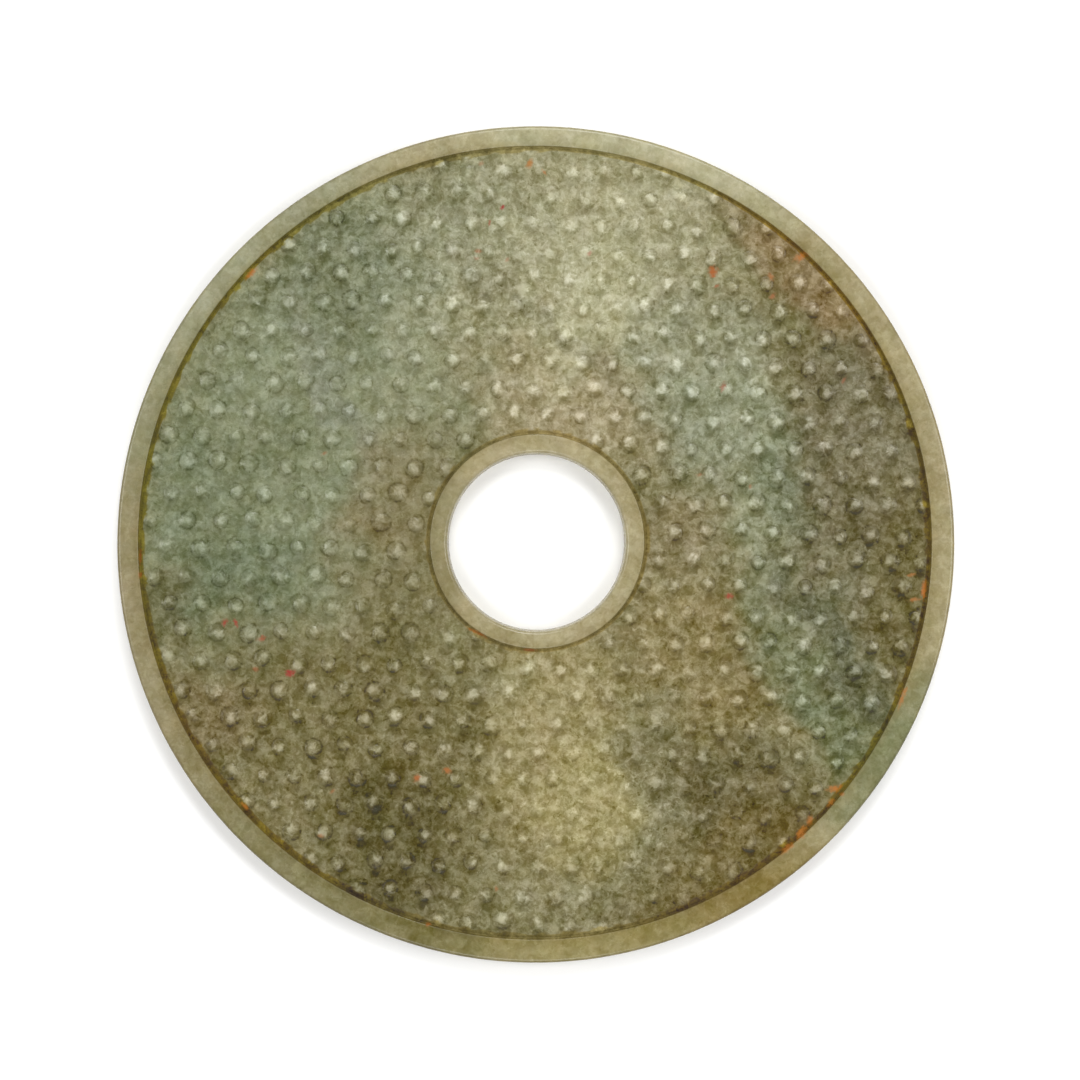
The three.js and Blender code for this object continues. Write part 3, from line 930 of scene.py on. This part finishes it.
def toned(node, at, colour, tone):
    """Adds the tone and a little wandering warmth to a colour, in the eye's scale."""
    seen = node("ShaderNodeGamma", colour, 1 / EYE_POWER)
    seen = node(VECTOR + " ADD", seen, node(VECTOR + " SCALE", {"Vector": TONE_HUE, "Scale": tone}))
    drift = node("ShaderNodeSeparateColor", at.blotch.outputs["Color"])
    warmth = [node(TIMES, node(MINUS, drift.outputs[name], 0.5), spread)
              for name, spread in zip(("Green", "Blue"), WARMTH)]
    seen = node(VECTOR + " ADD", seen, node(JOIN, warmth[0], 0.0, warmth[1]))
    seen = node(VECTOR + " MAXIMUM", seen, DARKEST)
    return node("ShaderNodeGamma", seen, EYE_POWER)


# %% [markdown]
# ## Dirt and cinnabar
# Burial dirt is a thin brown film in the grooves and on the edge, so it multiplies what is under it. On the
# rounded edge it is painted shade as well.
# The cinnabar is a powder that hides the stone, so it is mixed over it, with a ragged outline.

# %% Dirt and cinnabar
# The film's colour: dirt, and on the rounded edge painted shade as well.
DIRT = "dac76e"
NEAR_GROOVE, PAST_GROOVE, NEAR_DIRT = 71.0, 77.0, 0.2    # mm, where the field's own dirt thickens
THINNED = 0.7                                            # of the film is left at the top and bottom
CINNABAR_RED, CINNABAR_ORANGE = "9c362e", "b67c38"


def dirtied(node, at, colour):
    """Lays the film of dirt, which on the rounded edge is painted shade as well."""
    near = node(RANGE, {"Value": node(VECTOR + " LENGTH", at.plan).outputs["Value"],
                        "From Min": NEAR_GROOVE, "From Max": PAST_GROOVE, "To Min": 0.0,
                        "To Max": NEAR_DIRT})
    uneven = node(TIMES_PLUS, node(MINUS, at.blotch, 0.5), 1.2, node(TIMES_PLUS, near, at.field, at.dirt))
    film = node(RANGE, {"Value": uneven, "From Min": 0.15, "From Max": 0.9, "To Min": 0.0, "To Max": 1.0})
    # It is thinner at the top and bottom.
    aside = node(MATH + " ABSOLUTE", node("ShaderNodeSeparateXYZ", at.bent).outputs["X"])
    patchy = node(RANGE, {"Value": aside, "From Min": 15.0, "From Max": 50.0, "To Min": THINNED,
                          "To Max": 1.0})
    at.film = node(TIMES, film, patchy)
    return node("ShaderNodeMix", {"Factor": at.film, "A": colour, "B": linear(DIRT)}, data_type="RGBA",
                blend_type="MULTIPLY")


def reddened(node, at, colour):
    """Lays the specks of cinnabar."""
    speck = node("ShaderNodeAttribute", attribute_name="on_speck").outputs["Vector"]
    reach = node(PLUS, node(VECTOR + " LENGTH", speck).outputs["Value"], node(TIMES, at.wobble, 3.0))
    powder = node(RANGE, {"Value": reach, "From Min": 0.1, "From Max": 1.3, "To Min": 1.0,
                          "To Max": 0.0}, **SMOOTH)
    at.powder = node(TIMES, powder, at.cinnabar)
    red = node("ShaderNodeMix", {"Factor": at.orange, "A": linear(CINNABAR_RED),
                                 "B": linear(CINNABAR_ORANGE)}, data_type="RGBA")
    return node("ShaderNodeMix", {"Factor": at.powder, "A": colour, "B": red}, data_type="RGBA")


# %% [markdown]
# ## Gloss and pits
# A rubbed nephrite has a soft, waxy gloss: smooth, but with less shine than a fresh polish. Its IOR is
# 1.61. The rims are the smoothest, and dirt and powder are dull. The hex codes say what the eye sees,
# and the gloss lays a thin haze over that, so the haze is taken off the colour first.

# %% Nephrite
IOR, POLISH = 1.61, 0.3           # 0.5 would be a fresh polish, and this one is worn
ROUGH, RIM_SMOOTHER, ROUGH_DRIFT = 0.28, 0.02, 0.2
DULL = {"film": 0.6, "powder": 0.4, "line": 0.2, "grime": 1.5}
PIT_DEPTH = 0.07                  # mm
BRIGHT, HAZE = 1.44, 0.019        # how the stage's light falls on the disc, and its haze of gloss
LEAST = 0.003                     # no paint is blacker


def waxy(node, at, colour):
    """The shader, with the rims polished, the field duller, and dirt and powder dull."""
    rough = node(TIMES_PLUS, at.rim, -RIM_SMOOTHER, ROUGH)
    rough = node(TIMES_PLUS, node(MINUS, at.blotch, 0.5), ROUGH_DRIFT, rough)
    for name, amount in DULL.items():
        rough = node(TIMES_PLUS, getattr(at, name), amount, rough)
    pits = node(PLUS, node(TIMES, at.felt, 0.6), at.blotch)
    bump = node("ShaderNodeBump", {"Strength": node(TIMES_PLUS, at.rim, -0.6, 0.9),
                                   "Distance": PIT_DEPTH * MM, "Height": pits})
    under = node(VECTOR + " MULTIPLY_ADD", colour, (1 / BRIGHT,) * 3, (-HAZE / BRIGHT,) * 3)
    under = node(VECTOR + " MAXIMUM", under, (LEAST,) * 3)
    return node("ShaderNodeBsdfPrincipled",
                {"Base Color": under, "Roughness": rough, "IOR": IOR, "Specular IOR Level": POLISH,
                 "Normal": bump})


def nephrite(material):
    """Fills in the stone's nodes, one layer over the other."""
    material.use_nodes = True
    tree = material.node_tree
    tree.nodes.clear()
    node = partial(add, tree)
    at = fibres(node)
    colour = zoned(node, at)
    tone = grain_toned(node, at, mottled(node, at))
    colour = toned(node, at, colour, tone)
    colour = dirtied(node, at, colour)
    colour = reddened(node, at, colour)
    node("ShaderNodeOutputMaterial", {"Surface": waxy(node, at, colour)})


nephrite(stone)
print("the stone has", len(stone.node_tree.nodes), "nodes")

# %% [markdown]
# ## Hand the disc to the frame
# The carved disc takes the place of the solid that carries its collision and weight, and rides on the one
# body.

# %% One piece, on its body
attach(disc, "root")
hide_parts("bi_disc")
low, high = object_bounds()
print("carved disc in mm:", [round(v / MM, 2) for v in (*low, *high)])

# %% [markdown]
# ## The stage
# A plain white floor, and four large soft lamps round the disc, as on a copy stand. They stand low enough
# to draw the grains' shade, and the one beyond the disc's top edge is the strongest, so that each grain's
# lower side is the darker one. The room's pale walls fill the shadows, and its dim ceiling keeps the
# polish from mirroring much of it upwards. The camera looks straight down with a long lens, as for a
# catalogue.

# %% Floor, light and camera
FLOOR_HALF = 1.0                        # m
CARD, CARD_ROUGH = "f9f9f8", 0.9        # matt white card
VIEW_WIDTH = 212.5 * MM                 # across the picture, at the height of the rims
AIM = Vector((0.83, 0.85, THICK)) * MM
LENS, SENSOR = 100.0, 36.0              # mm
FAR = 10.0                              # m, the camera sees no further
WALLS, CEILING = 0.88, 0.16             # how bright the room is
LAMP_SIZE = 0.9                         # m
# Where each lamp stands, and its power in watts. The top one is the strongest.
LAMPS = {
    "top lamp": (Vector((0.2, 1.4, 1.5)), 22.6),
    "left lamp": (Vector((-1.4, 0.1, 1.5)), 14.0),
    "right lamp": (Vector((1.4, 0.1, 1.5)), 16.5),
    "bottom lamp": (Vector((-0.1, -1.4, 1.5)), 13.4),
}


def stage():
    """Makes the floor, the room's light, the lamps and the camera."""
    scene = bpy.context.scene
    floor_mesh = bpy.data.meshes.new("floor")
    corners = [(x * FLOOR_HALF, y * FLOOR_HALF, 0) for x, y in ((-1, -1), (1, -1), (1, 1), (-1, 1))]
    floor_mesh.from_pydata(corners, [], [(0, 1, 2, 3)])
    floor = bpy.data.objects.new("floor", floor_mesh)
    card = bpy.data.materials.new("white card")
    card.use_nodes = True
    shader = card.node_tree.nodes["Principled BSDF"]
    shader.inputs["Base Color"].default_value = linear(CARD)
    shader.inputs["Roughness"].default_value = CARD_ROUGH
    floor_mesh.materials.append(card)

    # The room fades from the walls' light at the horizon to the ceiling's straight above.
    world = bpy.data.worlds.new("soft room")
    world.use_nodes = True
    world.node_tree.nodes.clear()
    node = partial(add, world.node_tree)
    direction = node("ShaderNodeSeparateXYZ", node("ShaderNodeTexCoord").outputs["Generated"])
    strength = node(RANGE, {"Value": direction.outputs["Z"], "To Min": WALLS, "To Max": CEILING})
    room = node("ShaderNodeBackground", {"Color": (1, 1, 1, 1), "Strength": strength})
    node("ShaderNodeOutputWorld", {"Surface": room})
    scene.world = world

    for name, (place, power) in LAMPS.items():
        lamp_data = bpy.data.lights.new(name, "AREA")
        lamp_data.size = LAMP_SIZE
        lamp_data.energy = power
        lamp = bpy.data.objects.new(name, lamp_data)
        lamp.location = place
        lamp.rotation_euler = place.to_track_quat("Z", "Y").to_euler()
        scene.collection.objects.link(lamp)

    camera_data = bpy.data.cameras.new("camera")
    camera_data.lens = LENS
    camera_data.sensor_width = SENSOR
    camera_data.clip_end = FAR
    camera = bpy.data.objects.new("camera", camera_data)
    camera.location = AIM + Vector((0, 0, VIEW_WIDTH * LENS / SENSOR))
    for item in (floor, camera):
        scene.collection.objects.link(item)
    scene.camera = camera
    scene.view_settings.view_transform = "Standard"
    floor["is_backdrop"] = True


stage()
print("camera", round(VIEW_WIDTH * LENS / SENSOR, 3), "m above the rims")

# %% [markdown]
# ## The sizes
# How far each corner of the carved disc's box has moved from the solid's is printed, since the carving
# may not grow the disc.

# %% Sizes
seen_low, seen_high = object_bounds()
for name, cad, seen in (("low", cad_low, seen_low), ("high", cad_high, seen_high)):
    moved = [round(v / MM, 3) for v in Vector(seen) - Vector(cad)]
    print("the box's", name, "corner moved by, in mm:", moved)
